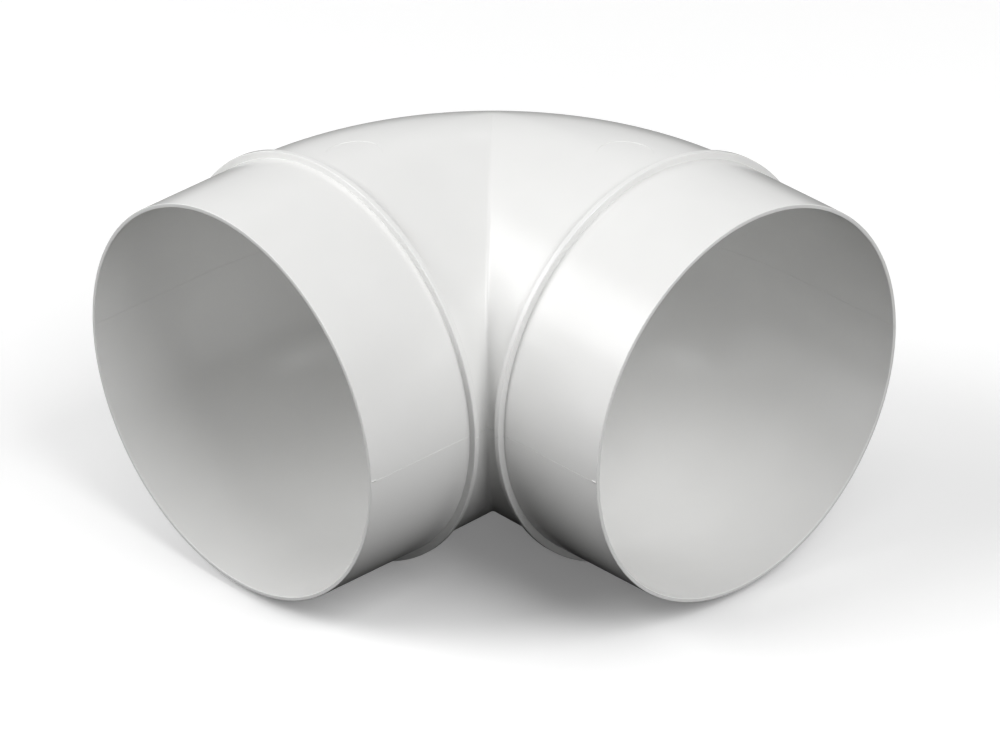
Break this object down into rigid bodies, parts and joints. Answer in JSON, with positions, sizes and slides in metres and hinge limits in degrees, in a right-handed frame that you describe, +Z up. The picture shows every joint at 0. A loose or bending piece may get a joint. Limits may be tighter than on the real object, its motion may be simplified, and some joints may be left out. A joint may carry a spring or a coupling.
{
  "type": "round duct elbow",
  "caption": "Right-angled elbow for round duct, with a plain spigot and a raised stop collar at each end, moulded as two lapped half shells.",
  "frame": {"origin": "centre of the bounding box in X and Y, on the plane under the two collars; the spigot axes cross at (-0.0255, 0.0255, 0.0776)", "axes": "+X along one spigot, towards its rim; -Y along the other spigot, towards its rim; +Z up, square to both"},
  "size_m": [0.2062, 0.2062, 0.1552],
  "materials": {
    "white_plastic": "smooth white moulded plastic with a soft gloss"
  },
  "bodies": {
    "root": {"upper_half_shell": "white_plastic", "lower_half_shell": "white_plastic"}
  },
  "joints": []
}
